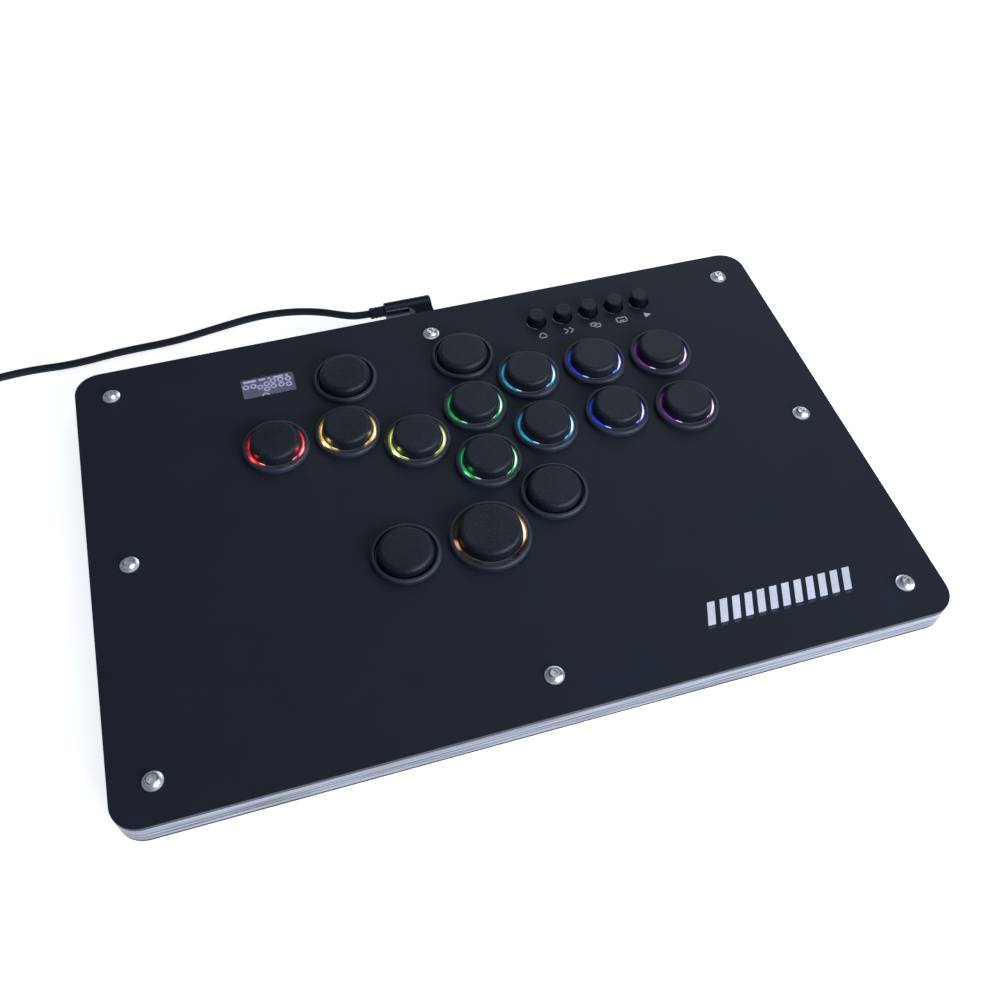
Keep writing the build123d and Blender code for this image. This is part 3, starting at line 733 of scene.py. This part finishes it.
def make_light_rings():
    red, orange, lime = (0.92, 0.02, 0.035), (1.0, 0.60, 0.10), (0.74, 0.82, 0.16)
    green, cyan, blue = (0.015, 0.50, 0.14), (0.03, 0.42, 0.74), (0.015, 0.06, 0.80)
    purple, gold = (0.20, 0.03, 0.36), (1.0, 0.50, 0.09)
    rings = [
        ("left", "direction_light_rings", red, 3, 0.75, 0.5, 0.30, 0.9),
        ("down", "direction_light_rings", orange, 2, 1.35, 0.9, 1.0, 0.75),
        ("right", "direction_light_rings", lime, 3, 1.2, 1.0, 1.0, 0.0),
        ("action_1", "action_light_rings", green, 0, 0.8, 1.0, 0.0, 0.0),
        ("action_2", "action_light_rings", cyan, -1, 0.9, 1.0, 0.0, 0.0),
        ("action_3", "action_light_rings", blue, -7, 0.8, 1.0, 0.0, 0.0),
        ("action_4", "action_light_rings", purple, -11, 0.8, 1.0, 0.0, 0.0),
        ("action_5", "action_light_rings", green, 0, 0.8, 1.0, 0.55, 0.0),
        ("action_6", "action_light_rings", cyan, 0, 0.9, 1.0, 0.0, 0.0),
        ("action_7", "action_light_rings", blue, -7, 0.7, 1.0, 0.0, 0.0),
        ("action_8", "action_light_rings", purple, -9, 0.8, 1.0, 0.0, 0.0),
        ("up", "up_light_ring", gold, 9, 0.03, 1.0, 0.30, 0.0),
    ]
    for label, node, hue, turn, west, east, blob, glow in rings:
        big = label == "up"
        cap = label.replace("action_", "action_cap_") if "action" in label else f"{label}_cap"
        low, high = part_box(cap)
        centre = (low + high) / 2
        name = f"light_ring_{label}"
        front, lamp = (0.05, 181) if big else (1.0, 201)
        material = ring_material(name, hue, turn, west, east, blob, glow, front, lamp)
        profile = ring_profile(**(BIG_RING if big else SMALL_RING))
        ring = lathe(name, profile, (centre.x, centre.y), material)
        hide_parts(node)


make_light_rings()


# ---------------------------------------------------------------- display
def make_display():
    """A small monochrome display that shows the button layout, behind a clear window."""
    low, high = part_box("display_window")
    x, y = (low.x + high.x) / 2 / MM, (low.y + high.y) / 2 / MM
    glass_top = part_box("display_panel")[1].z / MM
    dress(glowing("display_glass", (0.085, 0.088, 0.135), scale=160.0), "display_panel")
    marks = Plates(glass_top + 0.01, glass_top + 0.04)
    for start, width in ((-10.0, 5.4), (-3.5, 2.8), (0.3, 1.1), (2.6, 4.2), (7.6, 1.2)):
        marks.bar(x + start + width / 2, y + 4.5, width, 1.2)
    scale_x, scale_y, centre_x, centre_y = 0.106, 0.100, 12.1, 24.0
    for name in sorted(NODES):
        if "_cap" not in name or name.startswith(("function", "extra")):
            continue
        cap_low, cap_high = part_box(name)
        spot = (cap_low + cap_high) / 2 / MM
        radius = 1.25 if name == "up_cap" else 1.02
        marks.ring(
            x + scale_x * (spot.x - centre_x), y + scale_y * (spot.y - centre_y), radius, 0.62,
        )
    marks.piece("display_marks", glowing("display_light", (0.46, 0.46, 0.70)), "display_glass")
    material, tree, shader, add = new_material("window_acrylic")
    place = add("ShaderNodeTexCoord").outputs["Object"]
    haze = add("ShaderNodeTexNoise", {"Vector": place}, Scale=500.0, Detail=3.0)
    tree.links.new(spread(add, haze.outputs["Fac"], 0.10, 0.18), shader.inputs["Roughness"])
    shader.inputs["Base Color"].default_value = (0.92, 0.93, 1.0, 1)
    shader.inputs["Transmission Weight"].default_value = 1.0
    shader.inputs["IOR"].default_value = 1.49
    dress(material, "display_window")
    border = moulded("window_border", (0.006, 0.007, 0.012), 0.6, 0.3, 0.004)
    dress_faces("display_window", border, 0.8)


make_display()


# ---------------------------------------------------------------- printed marks
def make_prints():
    """Five plain symbols under the function buttons, and a band of slanted bars with a painted
    shadow below it.
    """
    deck = DECK / MM
    ink = moulded("legend_ink", (0.42, 0.43, 0.50), 0.6, 0.3, 0.004)
    symbols = Plates(deck, deck + 0.03)
    stroke, size = 0.5, 1.25
    spots = []
    for number in range(1, 6):
        low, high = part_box(f"function_cap_{number}")
        drift = 0.15 * number
        spots.append(((low.x + high.x) / 2 / MM + drift, (low.y + high.y) / 2 / MM - 8.9))

    def at(spot, *points):
        return [(spot[0] + size * x, spot[1] + size * y) for x, y in points]

    house, chevrons, squares, pad, play = spots
    symbols.loop(at(house, (-1.2, -1.1), (1.2, -1.1), (1.2, 0.2), (0, 1.3), (-1.2, 0.2)), stroke)
    for x in (-1.6, 0.3):
        symbols.line(*at(chevrons, (x, 1.1), (x + 1.2, 0)), stroke)
        symbols.line(*at(chevrons, (x + 1.2, 0), (x, -1.1)), stroke)
    for x, y in ((-1.6, -0.45), (-0.4, -1.15)):
        symbols.loop(at(squares, (x, y), (x + 2, y), (x + 2, y + 1.6), (x, y + 1.6)), stroke)
    symbols.loop(at(pad, (-1.8, -1.1), (1.8, -1.1), (1.8, 1.1), (-1.8, 1.1)), stroke)
    symbols.line(*at(pad, (-0.7, -0.4), (0.7, -0.4)), stroke)
    symbols.add(at(play, (-1.0, -1.2), (1.3, 0), (-1.0, 1.2)))
    symbols.piece("legend_symbols", ink, "panel_acrylic")

    low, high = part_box("top_panel")
    centre_x, centre_y = high.x / MM - 61.1, low.y / MM + 22.4
    band = Plates(deck, deck + 0.05)
    # The second set of plates is a painted shadow: flat dark blue bars just below the band's bars.
    shadow = Plates(deck, deck + 0.02)
    for number in range(12):
        x = centre_x - 27.0 + 4.9 * number
        band.bar(x, centre_y, 2.9, 9.0, slant=3.2)
        shadow.bar(x - 2.0, centre_y - 5.3, 2.6, 1.1, slant=0.4)
    ink = moulded("emblem_ink", (0.66, 0.68, 0.82), 0.4, 0.4, 0.003)
    band.piece("emblem_bars", ink, "panel_acrylic")
    shadow_paint = moulded("emblem_painted_shadow", (0.012, 0.026, 0.062), 0.5, 0.6, 0.003)
    shadow.piece("emblem_shadow", shadow_paint, "panel_acrylic")


make_prints()


# ---------------------------------------------------------------- floor, light and world
def make_lamp_glow():
    """The glow that the brightest lamps throw on their rims and caps."""
    reach, height = 11.4 * MM, 2.6 * MM
    for cap, angle, colour, power in (
        ("left_cap", 329, (1.0, 0.05, 0.04), 0.0008), ("left_cap", 208, (1.0, 0.08, 0.06), 0.0004),
        ("down_cap", 205, (1.0, 0.72, 0.20), 0.0008), ("down_cap", 329, (1.0, 0.66, 0.20), 0.0004),
        ("right_cap", 204, (0.85, 0.95, 0.25), 0.0007),
        ("action_cap_5", 203, (0.05, 0.95, 0.30), 0.0004),
    ):
        low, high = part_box(cap)
        data = bpy.data.lights.new(f"{cap}_glow_{angle}", "POINT")
        data.energy, data.color, data.shadow_soft_size = power, colour, 0.8 * MM
        light = bpy.data.objects.new(data.name, data)
        middle = (low + high) / 2
        light.location = (
            middle.x + reach * cos(radians(angle)), middle.y + reach * sin(radians(angle)),
            DECK + height,
        )
        SCENE.collection.objects.link(light)


def make_studio():
    material, _, shader, _ = new_material("studio_floor")
    shader.inputs["Base Color"].default_value = (0.85, 0.85, 0.86, 1)
    shader.inputs["Roughness"].default_value = 0.95
    shader.inputs["Specular IOR Level"].default_value = 0.1
    shader.inputs["Emission Color"].default_value = (0.98, 0.99, 1.0, 1)
    shader.inputs["Emission Strength"].default_value = 0.70
    floor = new_piece(
        "studio_floor",
        [(-4, -4, 0), (4, -4, 0), (4, 4, 0), (-4, 4, 0)], [(0, 1, 2, 3)], material,
    )

    world = bpy.data.worlds.new("studio_world")
    world.use_nodes = True
    background = world.node_tree.nodes["Background"]
    background.inputs["Color"].default_value = (0.78, 0.87, 1.0, 1)
    background.inputs["Strength"].default_value = 0.24
    SCENE.world = world

    make_lamp_glow()

    def softbox(name, place, size, power, colour=(1.0, 1.0, 1.0)):
        data = bpy.data.lights.new(name, "AREA")
        data.shape = "RECTANGLE"
        data.size, data.size_y = size
        data.energy = power
        data.color = colour
        light = bpy.data.objects.new(name, data)
        light.location = place
        light.rotation_euler = (-Vector(place)).to_track_quat("-Z", "Y").to_euler()
        SCENE.collection.objects.link(light)

    softbox("right_front_softbox", (0.55, -0.86, 0.46), (0.90, 0.45), 14.0, (0.90, 0.94, 1.0))
    softbox("right_softbox", (0.95, -0.30, 0.35), (0.34, 0.26), 2.5)
    softbox("back_right_softbox", (0.75, 1.25, 1.0), (1.2, 0.8), 6.0, (0.84, 0.92, 1.0))
    softbox("overhead_softbox", (0.1, 0.0, 1.6), (1.4, 1.2), 2.5, (0.86, 0.93, 1.0))
    SCENE.view_settings.view_transform = "Standard"


make_studio()
